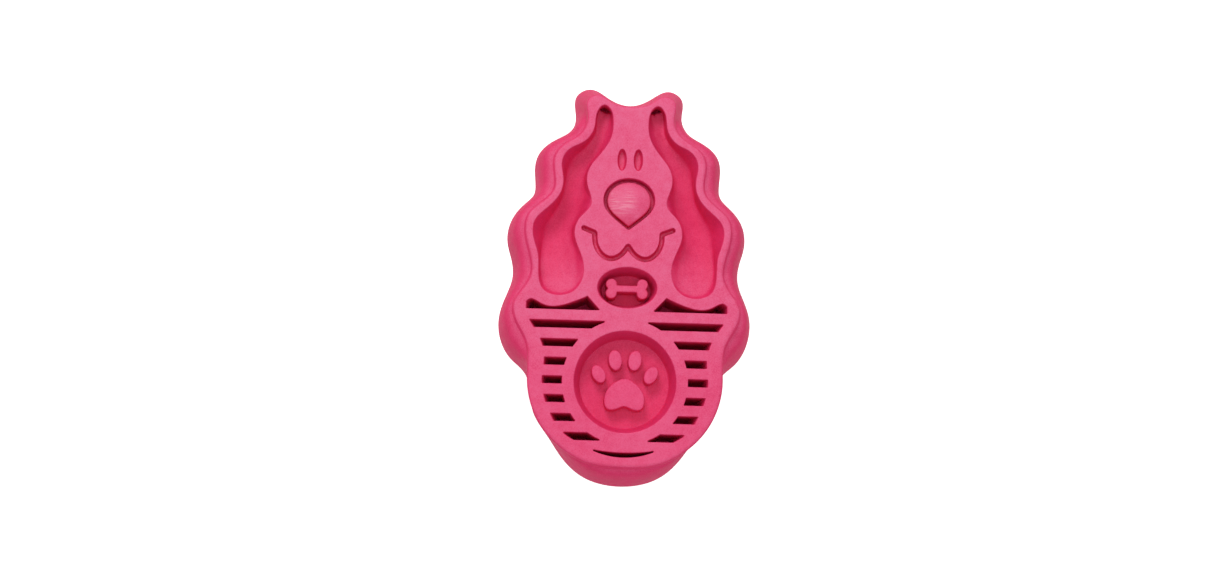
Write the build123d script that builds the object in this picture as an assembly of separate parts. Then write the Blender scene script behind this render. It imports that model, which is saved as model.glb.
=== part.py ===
from build123d import *
import math
import os

# A hand-held rubber grooming brush with a dog's-head grip face.
# Millimetres, +X to the right of the face, +Y towards the ear tips, +Z up out of the
# grip face.  The origin is under the middle of the body, level with the fingertips.

# ---------------------------------------------------------------- driving heights
FINGER_LENGTH = 16.0      # fingertips to the underside of the web
WEB_TOP = 20.0            # top of the 4 mm web that carries the fingers
SHOULDER_Z = 35.5         # ledge at the top of the skirt, where the lip starts
FACE_Z = 38.0             # flat grip face
LIP_ROUND = 0.8           # rounding of the outer edge of the grip face
SKIRT_OVERLAP = 1.4       # how far the lip stands in over the top of the skirt
# The skirt's rounded wall: height, and share of the way out from the lip to the foot.
SKIRT_SECTIONS = [(WEB_TOP, 1.0), (24.5, 0.93), (29.5, 0.77), (33.5, 0.52), (SHOULDER_Z, 0.24)]

# ---------------------------------------------------------------- half outlines, x >= 0
# The lip of the grip face and the foot of the skirt.  Point n of one list is the same
# feature as point n of the other: ear tip, upper lobe, middle lobe, big side lobe, cheek,
# chin.  Each list starts on the centre line between the ears and ends at the chin.
LIP = [
    (0.0, 51.2), (5.4, 52.2), (10.3, 54.6), (12.9, 53.1), (12.9, 47.6),
    (15.0, 42.6), (19.3, 39.6), (22.2, 36.0), (22.2, 30.5), (22.3, 26.0),
    (25.8, 22.0), (29.7, 18.0), (30.4, 13.0), (28.9, 6.5), (28.3, 1.0),
    (30.6, -3.8), (33.2, -8.0), (32.2, -14.0), (29.4, -19.3), (28.6, -25.0),
    (28.7, -31.0), (27.2, -38.6), (23.4, -45.6), (17.5, -51.2), (10.0, -55.0),
    (0.0, -56.0),
]
FOOT = [
    (0.0, 55.1), (6.4, 57.4), (12.4, 60.0), (15.9, 57.8), (16.0, 51.5),
    (17.7, 46.0), (23.5, 42.3), (27.4, 38.2), (27.8, 32.5), (28.2, 26.6),
    (31.6, 22.8), (34.9, 18.0), (35.6, 12.8), (34.1, 6.8), (33.8, 1.5),
    (35.4, -3.6), (37.5, -10.5), (36.9, -16.8), (33.6, -22.6), (29.3, -26.8),
    (27.7, -31.8), (26.3, -38.8), (21.9, -45.6), (18.3, -50.9), (11.9, -57.0),
    (0.0, -60.0),
]

# Edge of the hollow ear on the right: down the wavy outer side, round the rounded end
# below the cheek, and back up the inner side beside the muzzle.
EAR = [
    (8.0, 51.4), (9.8, 49.7), (10.7, 44.8), (13.7, 40.2), (18.2, 37.6),
    (20.0, 34.2), (19.5, 29.0), (20.4, 24.4), (24.6, 19.6), (27.6, 16.2),
    (27.9, 11.6), (26.4, 6.4), (26.1, 0.6), (24.6, -4.0), (20.0, -5.6),
    (15.4, -3.9), (13.0, 1.6), (14.2, 7.2), (15.9, 12.0), (14.6, 17.4),
    (11.3, 21.6), (12.6, 27.6), (12.0, 32.4), (8.8, 36.9), (5.7, 42.4),
    (5.4, 47.6), (6.3, 50.3),
]
EAR_LINE_TOP = (10.0, 50.0)      # two points under which the deepest line of the floor runs
EAR_LINE_FOOT = (26.0, 4.0)
# The floor is a hollow of elliptical section: distance along that line, half width, depth.
EAR_TROUGH = [
    (-8.0, 6.5, 6.4), (6.0, 6.5, 6.6), (20.0, 6.9, 8.2), (32.0, 7.8, 9.0), (42.0, 10.8, 8.0),
    (50.0, 13.5, 5.6), (57.0, 14.0, 2.2),
]
EAR_TROUGH_Z = 38.3       # height of the middle of those sections
EAR_WALL = 2.2

# ---------------------------------------------------------------- grille and ring
BAR_TOP_Y = -9.9          # top edge of the long crossbar
SLOT_TOP_Y = -13.1        # top edge of the first slot below it
SLOT_PITCH = 5.48
SLOT_HEIGHT = 2.25
SLOT_ROWS = 7
SLOT_FOOT_Y = SLOT_TOP_Y - SLOT_PITCH * (SLOT_ROWS - 1) - SLOT_HEIGHT
RING_Y = -30.8
RING_INNER_R = 14.9
RING_OUTER_R = 18.5
MEDALLION_Z = 31.0
MEDALLION_R = 13.3        # the round window narrows to this at its floor
EMBLEM_TOP_Z = 35.5

# Line on which the slots end, inside the rim.
SLOT_END = [
    (30.8, BAR_TOP_Y), (28.7, -13.1), (25.2, -18.8), (23.9, -24.5), (24.4, -30.0),
    (23.7, -35.5), (21.5, -41.2), (17.9, -46.2), (14.6, SLOT_FOOT_Y),
]

# ---------------------------------------------------------------- face details
OVAL_Y = -3.0
OVAL_RX = 8.7
OVAL_RY = 6.0
OVAL_FLOOR_Z = 29.6
OVAL_DRAFT = 1.3          # how much smaller the oval is at its floor
EYE_X = 2.4
EYE_Y = 35.1
EYE_RX = 1.3
EYE_RY = 3.2
EYE_DEPTH = 2.5
NOSE_DEPTH = 4.0
NOSE_GAP = 0.9
NOSE_DOME_R = 15.0
MOUTH_WIDTH = 1.3
MOUTH_DEPTH = 2.0

NOSE_SIDE = [(0.0, 29.6), (4.6, 28.3), (7.3, 24.9), (7.2, 21.0), (4.2, 17.4)]
NOSE_POINT = (0.0, 14.5)
MOUTH_CURVE = [(0.0, 9.4), (1.9, 6.9), (5.2, 5.6), (8.3, 7.5), (9.8, 11.0), (9.9, 13.6)]
MOUTH_TICK = (13.2, 14.8)

# ---------------------------------------------------------------- fingers
FINGER_PITCH = 9.6
FINGER_ROW_PITCH = 8.6
FINGER_ROWS = 13
FINGER_ROOT_R = 2.9
FINGER_TIP_R = 1.5
FINGER_EDGE = 4.2         # least distance from a finger's axis to the edge of the web


# ---------------------------------------------------------------- outline helpers
def mirrored(half):
    """Close a half outline by reflecting it in the centre line."""
    left = [(-x, y) for x, y in reversed(half) if x > 0.0]
    return half + left


def flipped(points):
    """The same outline on the left side of the face."""
    return [(-x, y) for x, y in points]


def blend(first, second, share):
    """Outline part of the way from one outline to another."""
    pairs = zip(first, second)
    return [(a + (c - a) * share, b + (d - b) * share) for (a, b), (c, d) in pairs]


def smooth_edge(points, z=0.0):
    """Closed smooth curve through the points."""
    vectors = [Vector(x, y, z) for x, y in points]
    return Edge.make_spline(vectors, periodic=True)


def smooth_face(points, z=0.0):
    return Face(Wire([smooth_edge(points, z)]))


def shifted_samples(points, distance, stations):
    """Points off the smooth closed curve, at the stations given; outwards is positive."""
    edge = smooth_edge(points)
    ring = [edge.position_at(i / 60) for i in range(60)]
    turn = 0.0
    for a, b in zip(ring, ring[1:] + ring[:1]):
        turn += a.X * b.Y - b.X * a.Y
    side = 1.0 if turn > 0.0 else -1.0
    result = []
    for station in stations:
        p = edge.position_at(station)
        t = edge.tangent_at(station)
        result.append((p.X + side * t.Y * distance, p.Y - side * t.X * distance))
    return result


def parallel_body_outline(half, distance, count=80):
    """Body outline drawn parallel to the one through the half outline."""
    stations = [0.5 * i / count for i in range(count + 1)]
    right = shifted_samples(mirrored(half), distance, stations)
    right[0] = (0.0, right[0][1])
    right[-1] = (0.0, right[-1][1])
    return mirrored(right)


def parallel_ear_outline(side, distance, count=90):
    """Outline round the right or left ear, parallel to its edge."""
    points = shifted_samples(EAR, distance, [i / count for i in range(count)])
    return points if side > 0 else flipped(points)


def prism(face, low, high):
    """Upright block over a face drawn at z = 0."""
    solid = extrude(face, amount=high - low, dir=(0, 0, 1))
    return Pos(0, 0, low) * solid


def polygon(points):
    return Face(Wire.make_polygon([Vector(x, y, 0) for x, y in points], close=True))


def ellipse_face(x, y, rx, ry):
    return Pos(x, y) * Face(Wire([Edge.make_ellipse(rx, ry)]))


def block(x0, x1, y0, y1, low, high):
    return Pos((x0 + x1) / 2, (y0 + y1) / 2, (low + high) / 2) * Box(
        x1 - x0, y1 - y0, high - low)


def cylinder_at(x, y, radius, low, high):
    return Pos(x, y, (low + high) / 2) * Cylinder(radius, high - low)


# ---------------------------------------------------------------- body envelope
def body_core():
    """Everything inside the skirt: a plug up to the shoulder, then the full lip outline."""
    lip = mirrored(LIP)
    inner = smooth_face(parallel_body_outline(LIP, -SKIRT_OVERLAP))
    plug = prism(inner, WEB_TOP, SHOULDER_Z)
    cap = prism(smooth_face(lip), SHOULDER_Z, FACE_Z)
    rim_edges = cap.edges().filter_by(lambda e: e.center().Z > FACE_Z - 0.01)
    cap = fillet(rim_edges, LIP_ROUND)
    return plug, cap


def side_skirt():
    """Lobed wall that rolls outwards from the shoulder down to the foot."""
    lip = mirrored(LIP)
    foot = mirrored(FOOT)
    rings = [Wire([smooth_edge(blend(lip, foot, share), z)]) for z, share in SKIRT_SECTIONS]
    shell = Solid.make_loft(rings, ruled=True)
    inner = smooth_face(parallel_body_outline(LIP, -SKIRT_OVERLAP))
    return shell - prism(inner, WEB_TOP - 1.0, SHOULDER_Z + 1.0)


def base_web():
    return prism(smooth_face(mirrored(FOOT)), FINGER_LENGTH, WEB_TOP)


# ---------------------------------------------------------------- slots
def under_ear_slot(side):
    """Slot between the rounded end of an ear and the long crossbar."""
    wave = [(30.8, BAR_TOP_Y), (28.4, -7.0), (25.2, -8.3), (21.9, -9.1),
            (17.4, -8.2), (11.6, -5.8)]
    upper = Spline(*[(side * x, y) for x, y in wave])
    inner = Line((side * 11.6, -5.8), (side * 7.8, BAR_TOP_Y))
    lower = Line((side * 7.8, BAR_TOP_Y), (side * 30.8, BAR_TOP_Y))
    return Face(Wire([upper, inner, lower]))


def chin_slot():
    """Thin lens-shaped slot under the ring."""
    upper = ThreePointArc((-10.0, -50.7), (0.0, -51.6), (10.0, -50.7))
    lower = ThreePointArc((10.0, -50.7), (0.0, -53.0), (-10.0, -50.7))
    return Face(Wire([upper, lower]))


def grille_field():
    """Area inside the rim that the slots, crossbars and ring share."""
    right = Spline(*SLOT_END)
    left = Spline(*flipped(SLOT_END))
    x_top, y_top = SLOT_END[0]
    x_foot, y_foot = SLOT_END[-1]
    top = Line((-x_top, y_top), (x_top, y_top))
    foot = Line((x_foot, y_foot), (-x_foot, y_foot))
    return Face(Wire([top, right, foot, left]))


# ---------------------------------------------------------------- ears
def ear_hollow(side):
    """Space inside an ear: upright walls down to a long hollow floor."""
    outline = EAR if side > 0 else flipped(EAR)
    walls = prism(smooth_face(outline), WEB_TOP, FACE_Z + 2.0)
    ax, ay = EAR_LINE_TOP
    bx, by = EAR_LINE_FOOT
    along = Vector(side * (bx - ax), by - ay, 0).normalized()
    across = Vector(0, 0, 1).cross(along)
    sections = []
    for distance, half_width, depth in EAR_TROUGH:
        centre = Vector(side * ax, ay, EAR_TROUGH_Z) + along * distance
        plane = Plane(origin=centre, x_dir=across, z_dir=along)
        sections.append(plane * Wire([Edge.make_ellipse(half_width, depth)]))
    return walls & Solid.make_loft(sections)


def ear_zone(side):
    """Plan area that belongs to one ear: the hollow, its wall, and all outside it."""
    centre_line = [
        (6.9, 62.0), (6.9, 50.0), (8.0, 45.0), (13.0, 37.0), (16.0, 30.0),
        (16.0, 25.0), (20.0, 18.0), (21.0, 12.0), (20.0, 4.0), (14.0, -3.5),
        (11.6, -5.8), (11.6, BAR_TOP_Y), (40.0, BAR_TOP_Y), (40.0, 62.0),
    ]
    outer = polygon([(side * x, y) for x, y in centre_line])
    band = smooth_face(parallel_ear_outline(side, EAR_WALL))
    return prism(outer, WEB_TOP, FACE_Z + 1.0) + prism(band, WEB_TOP, FACE_Z + 1.0)


def ear_cup(side, plug, cap):
    zone = ear_zone(side)
    above_bar = block(-45, 45, BAR_TOP_Y, 70, WEB_TOP, FACE_Z + 1.0)
    slot = prism(under_ear_slot(side), WEB_TOP, FACE_Z + 1.0)
    body = (plug & zone & above_bar) + (cap & zone & above_bar)
    return body - slot - ear_hollow(side)


# ---------------------------------------------------------------- face
def nose_outline(shrink):
    """Rounded nose that comes to a point below; shrink moves the edge inwards."""
    cx, cy = 0.0, 22.6
    span_x = (7.5 - shrink) / 7.5
    span_y = (7.6 - shrink) / 7.6
    side = [(cx + (x - cx) * span_x, cy + (y - cy) * span_y) for x, y in NOSE_SIDE]
    tip = (0.0, cy + (NOSE_POINT[1] - cy) * span_y)
    right = Spline(*side, tip, tangents=((1, 0), (-1, -0.75)))
    left = Spline(*flipped(side), tip, tangents=((-1, 0), (1, -0.75)))
    return Face(Wire([right, left]))


def nose():
    floor = FACE_Z - NOSE_DEPTH
    body = prism(nose_outline(NOSE_GAP), floor, FACE_Z + 1.0)
    dome = Pos(0, 22.8, FACE_Z - NOSE_DOME_R) * Sphere(NOSE_DOME_R)
    return body & dome


def mouth_groove():
    """Two rounded jowls under the nose and a short tick at each cheek."""
    reach = MOUTH_WIDTH / 2
    groove = None
    for side in (1, -1):
        curve = Spline(*[(side * x, y) for x, y in MOUTH_CURVE])
        tick = Line((side * MOUTH_CURVE[-1][0], MOUTH_CURVE[-1][1]),
                    (side * MOUTH_TICK[0], MOUTH_TICK[1]))
        steps = 40
        outer = []
        inner = []
        for i in range(steps + 1):
            p = curve.position_at(i / steps)
            t = curve.tangent_at(i / steps)
            outer.append((p.X + t.Y * reach, p.Y - t.X * reach))
            inner.append((p.X - t.Y * reach, p.Y + t.X * reach))
        ribbon = Face(Wire([
            Spline(*outer), Line(outer[-1], inner[-1]),
            Spline(*list(reversed(inner))), Line(inner[0], outer[0])]))
        a = tick.position_at(0)
        b = tick.position_at(1)
        run = (b - a).normalized()
        nx, ny = -run.Y * reach, run.X * reach
        bar = polygon([(a.X + nx, a.Y + ny), (b.X + nx, b.Y + ny),
                       (b.X - nx, b.Y - ny), (a.X - nx, a.Y - ny)])
        low = FACE_Z - MOUTH_DEPTH
        top = FACE_Z + 1.0
        shapes = [
            prism(ribbon, low, top),
            prism(bar, low, top),
            cylinder_at(a.X, a.Y, reach, low, top),
            cylinder_at(b.X, b.Y, reach, low, top),
            cylinder_at(0.0, MOUTH_CURVE[0][1], reach, low, top),
        ]
        for shape in shapes:
            groove = shape if groove is None else groove + shape
    return groove


def face_panel(plug, cap):
    above_bar = block(-45, 45, BAR_TOP_Y, 70, WEB_TOP, FACE_Z + 1.0)
    panel = (plug & above_bar) + (cap & above_bar)
    for side in (1, -1):
        panel = panel - ear_zone(side)
        panel = panel - prism(under_ear_slot(side), WEB_TOP, FACE_Z + 1.0)
        eye = ellipse_face(side * EYE_X, EYE_Y, EYE_RX, EYE_RY)
        panel = panel - prism(eye, FACE_Z - EYE_DEPTH, FACE_Z + 1.0)
    panel = panel - prism(nose_outline(0.0), FACE_Z - NOSE_DEPTH, FACE_Z + 1.0)
    panel = panel - mouth_groove()
    return panel - oval_window() - oval_floor()


def oval_ring(shrink, z):
    return Pos(0, OVAL_Y, z) * Wire([Edge.make_ellipse(OVAL_RX - shrink, OVAL_RY - shrink)])


def oval_window():
    """Space inside the oval window, which narrows towards its floor."""
    funnel = Solid.make_loft([oval_ring(OVAL_DRAFT, OVAL_FLOOR_Z), oval_ring(0.0, FACE_Z)])
    opening = ellipse_face(0, OVAL_Y, OVAL_RX, OVAL_RY)
    return funnel + prism(opening, FACE_Z, FACE_Z + 1.0)


def oval_floor():
    rx, ry = OVAL_RX - OVAL_DRAFT, OVAL_RY - OVAL_DRAFT
    return prism(ellipse_face(0, OVAL_Y, rx, ry), WEB_TOP, OVAL_FLOOR_Z)


def bone_emblem():
    """Plain bone lying across the oval window."""
    low, high = OVAL_FLOOR_Z, EMBLEM_TOP_Z
    shaft = block(-4.2, 4.2, OVAL_Y - 1.0, OVAL_Y + 1.0, low, high)
    for side in (1, -1):
        for lift in (1, -1):
            knob = cylinder_at(side * 4.6, OVAL_Y + lift * 1.35, 1.65, low, high)
            shaft = shaft + knob
    return shaft


# ---------------------------------------------------------------- ring and medallion
def window_ring():
    """Ring whose round window narrows towards the medallion."""
    outer = cylinder_at(0, RING_Y, RING_OUTER_R, WEB_TOP, FACE_Z)
    middle_z = (MEDALLION_Z + FACE_Z) / 2
    funnel = Pos(0, RING_Y, middle_z) * Cone(MEDALLION_R, RING_INNER_R, FACE_Z - MEDALLION_Z)
    return outer - funnel - medallion_floor()


def medallion_floor():
    return cylinder_at(0, RING_Y, MEDALLION_R, WEB_TOP, MEDALLION_Z)


def paw_emblem():
    """Plain paw print: one broad pad and four toes."""
    pad = [(0.0, -29.6), (3.2, -31.0), (5.9, -35.2), (5.0, -38.6), (2.2, -38.6),
           (0.0, -37.8)]
    print_pad = prism(smooth_face(mirrored(pad)), MEDALLION_Z, EMBLEM_TOP_Z)
    pieces = [print_pad]
    for side in (1, -1):
        for x, y, rx, ry, lean in ((2.9, -24.2, 2.0, 3.0, -8), (7.7, -28.4, 1.9, 2.8, -28)):
            toe = Pos(side * x, y) * Rot(0, 0, side * lean) * Face(
                Wire([Edge.make_ellipse(rx, ry)]))
            pieces.append(prism(toe, MEDALLION_Z, EMBLEM_TOP_Z))
    return Compound(children=pieces)


# ---------------------------------------------------------------- grille
def lower_rim(plug, cap):
    """Rim round the grille, with the chin panel that closes it below the ring."""
    below = block(-45, 45, -70, BAR_TOP_Y, WEB_TOP, FACE_Z + 1.0)
    rim = (plug & below) + (cap & below)
    rim = rim - prism(grille_field(), WEB_TOP - 1, FACE_Z + 1.0)
    rim = rim - cylinder_at(0, RING_Y, RING_OUTER_R, WEB_TOP - 1, FACE_Z + 1.0)
    return rim - prism(chin_slot(), WEB_TOP - 1, FACE_Z + 1.0)


def field_between(y_high, y_low):
    """Strip of the grille field between two levels, clear of the ring."""
    field = prism(grille_field(), WEB_TOP, FACE_Z)
    strip = field & block(-45, 45, y_low, y_high, WEB_TOP, FACE_Z)
    return strip - cylinder_at(0, RING_Y, RING_OUTER_R, WEB_TOP - 1, FACE_Z + 1.0)


def long_crossbar():
    return field_between(BAR_TOP_Y, SLOT_TOP_Y)


def rib(row, side):
    """Rib under slot number row, on one side of the ring."""
    y_high = SLOT_TOP_Y - SLOT_PITCH * (row - 1) - SLOT_HEIGHT
    y_low = SLOT_TOP_Y - SLOT_PITCH * row
    strip = field_between(y_high, y_low)
    half = block(0, 45, -70, 70, 0, 50) if side > 0 else block(-45, 0, -70, 70, 0, 50)
    return strip & half


# ---------------------------------------------------------------- fingers
def finger(x, y):
    """Tapered finger with a round tip, hanging from the web."""
    tip = FINGER_TIP_R
    half = math.sqrt(0.5)
    curve = ThreePointArc((0, 0), (tip * half, tip * (1 - half)), (tip, tip))
    flank = Line((tip, tip), (FINGER_ROOT_R, FINGER_LENGTH))
    top = Line((FINGER_ROOT_R, FINGER_LENGTH), (0, FINGER_LENGTH))
    axis = Line((0, FINGER_LENGTH), (0, 0))
    profile = Face(Wire([curve, flank, top, axis]))
    solid = revolve(Plane.XZ * profile, axis=Axis.Z)
    return Pos(x, y, 0) * solid


def half_width_at(y):
    """Half width of the web at one level, from the foot outline."""
    best = 0.0
    edge = smooth_edge(mirrored(FOOT))
    samples = [edge.position_at(i / 600) for i in range(600)]
    for a, b in zip(samples, samples[1:] + samples[:1]):
        if (a.Y - y) * (b.Y - y) <= 0.0 and abs(a.Y - b.Y) > 1e-9:
            share = (y - a.Y) / (b.Y - a.Y)
            best = max(best, abs(a.X + (b.X - a.X) * share))
    return best


def finger_rows():
    """Staggered rows of fingers, as many across as the web has room for."""
    rows = []
    first = FINGER_ROW_PITCH * (FINGER_ROWS - 1) / 2
    for n in range(FINGER_ROWS):
        y = first - n * FINGER_ROW_PITCH
        room = min(half_width_at(y), half_width_at(y + 2.5), half_width_at(y - 2.5))
        room = room - FINGER_EDGE
        shift = 0.0 if n % 2 == 0 else FINGER_PITCH / 2
        places = []
        for k in range(-6, 7):
            x = k * FINGER_PITCH + shift
            if abs(x) <= room:
                places.append(x)
        rows.append((y, places))
    return rows


# ---------------------------------------------------------------- write the parts
def save(shape, name):
    if not isinstance(shape, (Solid, Compound)):
        shape = Compound(children=list(shape.solids()))
    export_step(shape, "parts/" + name + ".step")


def main():
    os.makedirs("parts", exist_ok=True)
    plug, cap = body_core()
    save(base_web(), "base_web")
    save(side_skirt(), "side_skirt")
    save(ear_cup(-1, plug, cap), "left_ear_cup")
    save(ear_cup(1, plug, cap), "right_ear_cup")
    save(face_panel(plug, cap), "face_panel")
    save(nose(), "nose")
    save(oval_floor(), "oval_floor")
    save(bone_emblem(), "bone_emblem")
    save(window_ring(), "window_ring")
    save(medallion_floor(), "medallion_floor")
    save(paw_emblem(), "paw_emblem")
    save(lower_rim(plug, cap), "lower_rim")
    save(long_crossbar(), "long_crossbar")
    for row in range(1, SLOT_ROWS):
        save(rib(row, -1), "left_rib_%d" % row)
        save(rib(row, 1), "right_rib_%d" % row)
    for number, (y, places) in enumerate(finger_rows(), start=1):
        fingers = [finger(x, y) for x in places]
        save(Compound(children=fingers), "finger_row_%02d" % number)


main()
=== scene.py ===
"""Looks of the rubber grooming brush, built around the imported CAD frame.

The visible rubber is made as one closed skin, with the outlines that the CAD uses, and is
then cut into one piece per CAD node.  Shapes are in millimetres until a piece is finished.
"""

import math

import bmesh
import bpy
import numpy as np
from mathutils import Matrix, Vector
from mathutils.geometry import delaunay_2d_cdt


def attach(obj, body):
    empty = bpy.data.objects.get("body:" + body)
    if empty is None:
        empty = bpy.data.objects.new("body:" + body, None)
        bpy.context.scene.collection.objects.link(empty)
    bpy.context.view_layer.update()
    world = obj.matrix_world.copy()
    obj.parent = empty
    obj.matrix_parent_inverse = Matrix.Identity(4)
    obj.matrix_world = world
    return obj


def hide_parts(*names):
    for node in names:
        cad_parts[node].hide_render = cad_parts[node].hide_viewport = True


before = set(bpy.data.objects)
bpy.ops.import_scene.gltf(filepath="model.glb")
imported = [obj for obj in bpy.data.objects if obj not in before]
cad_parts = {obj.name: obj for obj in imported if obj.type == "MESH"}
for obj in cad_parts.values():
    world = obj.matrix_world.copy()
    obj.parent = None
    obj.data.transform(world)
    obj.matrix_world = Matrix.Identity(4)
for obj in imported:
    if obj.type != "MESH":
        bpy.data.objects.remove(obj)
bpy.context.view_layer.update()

MM = 0.001

# ---------------- heights, as in the CAD
FINGER_LENGTH = 16.0
WEB_TOP = 20.0
SHOULDER_Z = 35.5
FACE_Z = 38.0
MEDALLION_Z = 31.0
OVAL_FLOOR_Z = 29.6
EMBLEM_TOP_Z = 35.5

# ---------------- outlines, as in the CAD to about half a millimetre
LIP = [
    (0.0, 51.2), (5.4, 52.2), (10.3, 54.6), (12.9, 53.1), (12.9, 47.6),
    (15.0, 42.6), (19.3, 39.6), (22.2, 36.0), (22.2, 30.5), (22.3, 26.0),
    (25.8, 22.0), (29.7, 18.0), (30.4, 13.0), (28.9, 6.5), (28.3, 1.0),
    (30.6, -3.8), (33.2, -8.0), (32.2, -14.0), (29.4, -19.3), (28.6, -25.0),
    (28.7, -31.0), (27.2, -38.6), (23.4, -45.6), (17.5, -51.2), (10.0, -55.0),
    (0.0, -56.0),
]
FOOT = [
    (0.0, 55.1), (6.4, 57.4), (12.4, 60.0), (15.9, 57.8), (16.0, 51.5),
    (17.7, 46.0), (23.5, 42.3), (27.4, 38.2), (27.8, 32.5), (28.2, 26.6),
    (31.6, 22.8), (34.9, 18.0), (35.6, 12.8), (34.1, 6.8), (33.8, 1.5),
    (35.4, -3.6), (37.5, -10.5), (36.9, -16.8), (33.6, -22.6), (29.3, -26.8),
    (27.7, -31.8), (26.3, -38.8), (21.9, -45.6), (18.3, -50.9), (11.9, -57.0),
    (0.0, -60.0),
]
EAR = [
    (8.0, 51.4), (9.8, 49.7), (10.7, 44.8), (13.7, 40.2), (18.2, 37.6),
    (20.0, 34.2), (19.5, 29.0), (20.4, 24.4), (24.6, 19.6), (27.6, 16.2),
    (27.9, 11.6), (26.4, 6.4), (26.1, 0.6), (24.6, -4.0), (20.0, -5.6),
    (15.4, -3.9), (13.0, 1.6), (14.2, 7.2), (15.9, 12.0), (14.6, 17.4),
    (11.3, 21.6), (12.6, 27.6), (12.0, 32.4), (8.8, 36.9), (5.7, 42.4),
    (5.4, 47.6), (6.3, 50.3),
]
EAR_LINE_TOP = (10.0, 50.0)
EAR_LINE_FOOT = (26.0, 4.0)
# Sections of the ear's hollow floor: distance along that line, half width, depth.
EAR_TROUGH = [
    (-8.0, 6.5, 6.4), (6.0, 6.5, 6.6), (20.0, 6.9, 8.2), (32.0, 7.8, 9.0), (42.0, 10.8, 8.0),
    (50.0, 13.5, 5.6), (57.0, 14.0, 2.2),
]
EAR_TROUGH_Z = 38.3
# Small pocket at the very tip of the ear: extra depth, where it ends along that line, blend.
EAR_TIP_PIT = (4.5, -1.62, 0.16)
EAR_FLOOR_TOP_Z = FACE_Z - 1.2
EAR_CREASE = 1.3          # reach of the rounded crease at the foot of the ear's wall
# Edge of the ear's floor, point for point under EAR: the wavy side is evened out below.
EAR_FLOOR = [
    (8.0, 52.0), (9.8, 50.0), (10.3, 44.6), (13.3, 39.7), (16.0, 37.0),
    (18.0, 33.6), (19.1, 28.8), (20.1, 24.1), (22.6, 19.0), (24.2, 15.6),
    (25.0, 11.2), (25.7, 6.5), (25.6, 0.8), (23.9, -3.0), (19.9, -4.7),
    (15.9, -3.3), (13.6, 1.7), (14.7, 7.0), (16.4, 12.0), (15.1, 17.7),
    (11.9, 21.8), (13.1, 27.6), (12.4, 32.7), (9.3, 37.2), (6.3, 42.5),
    (5.8, 47.5), (6.2, 50.7),
]
SLOT_END = [
    (30.8, -9.9), (28.7, -13.1), (25.2, -18.8), (23.9, -24.5), (24.4, -30.0),
    (23.7, -35.5), (21.5, -41.2), (17.9, -46.2), (14.6, -48.23),
]
EAR_ZONE = [
    (6.7, 62.0), (6.7, 50.0), (8.0, 45.0), (13.0, 37.0), (16.0, 30.0),
    (16.0, 25.0), (20.0, 18.0), (21.0, 12.0), (20.0, 4.0), (14.0, -3.5),
    (11.6, -5.8), (11.6, -9.9), (40.0, -9.9), (40.0, 62.0),
]
EAR_WAVE = [
    (30.8, -9.9), (28.4, -7.0), (25.2, -8.3), (21.9, -9.1), (17.4, -8.2), (11.6, -5.8),
]
UNDER_EAR_TIP_X = 29.6    # outer tip of the slot under the ear
UNDER_EAR_FOOT_X = 7.8    # where that slot's inner end wall meets the crossbar
NOSE = [(0.0, 29.6), (4.6, 28.3), (7.3, 24.9), (7.2, 21.0), (4.2, 17.4)]
NOSE_POINT = (0.0, 14.1)
NOSE_MIDDLE = (0.0, 22.6)
NOSE_REACH = (7.5, 7.6)   # from its middle to its side and to its top
MOUTH = [(0.0, 9.4), (1.9, 6.9), (5.2, 5.5), (8.3, 7.3), (9.8, 10.7), (9.9, 13.1), (13.2, 14.4)]
PAW_PAD = [(0.0, -29.6), (3.2, -31.0), (5.9, -35.2), (5.0, -38.6), (2.2, -38.6), (0.0, -37.8)]
PAW_TOES = [(2.9, -24.2, 2.0, 3.0, -8.0), (7.7, -28.4, 1.9, 2.8, -28.0)]

BAR_TOP_Y = -9.9
SLOT_TOP_Y = -13.1
SLOT_PITCH = 5.48
SLOT_HEIGHT = 2.25
SLOT_ROWS = 7
RING_Y = -30.8
RING_INNER_R = 14.9
RING_OUTER_R = 18.5
MEDALLION_R = 13.3
OVAL_Y = -3.0
OVAL_RX = 8.7
OVAL_RY = 6.0
OVAL_DRAFT = 1.3
EYE = (2.4, 35.1, 1.3, 3.2)
EYE_WALL = [(0.12, 37.0), (0.25, 36.4), (0.4, 36.0), (0.62, 35.72), (0.9, 35.6)]
NOSE_GAP = 1.15
NOSE_DOME_R = 15.0
NOSE_FLOOR_Z = 34.0
MOUTH_WIDTH = 1.45
MOUTH_WALL = [(0.03, 37.1), (0.08, 36.5), (0.18, 36.0), (0.34, 35.65), (0.52, 35.5)]
CHIN_SLOT_Y = -50.7
CHIN_SLOT_HALF = 10.0     # half the length of the two arcs that make the chin slot
CHIN_SLOT_SAGS = (0.9, 2.3)

# ---------------- rounding of the rubber
LIP_ROUND = 1.0           # depth of the lip's rounded edge
LIP_REACH = 1.25          # width of the same edge
LIP_REACH_EAR_TIP = 0.7   # width of the same edge where it passes the tips of the ears
TOP_WALL_STRAIGHTEN = 0.8  # share by which the wall above the forehead loses its bulge
EAR_ROUND = 0.45
SLOT_ROUND = 0.32
WINDOW_ROUND = 0.5
SMALL_ROUND = 0.3
FOOT_ROUND = 0.6
SLOT_CORNER = 0.2         # radius of a slot's corners at the face
SLOT_FLOOR_Z = 20.6
SLOT_DRAFT = 0.3          # how much each slot wall leans in, from the face to its floor
# How far the outer end wall of each slot leans in, from the top row to the bottom row.
SLOT_END_LEAN = [2.2, 1.7, 1.5, 1.8, 2.1, 2.5, 3.0]


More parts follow.
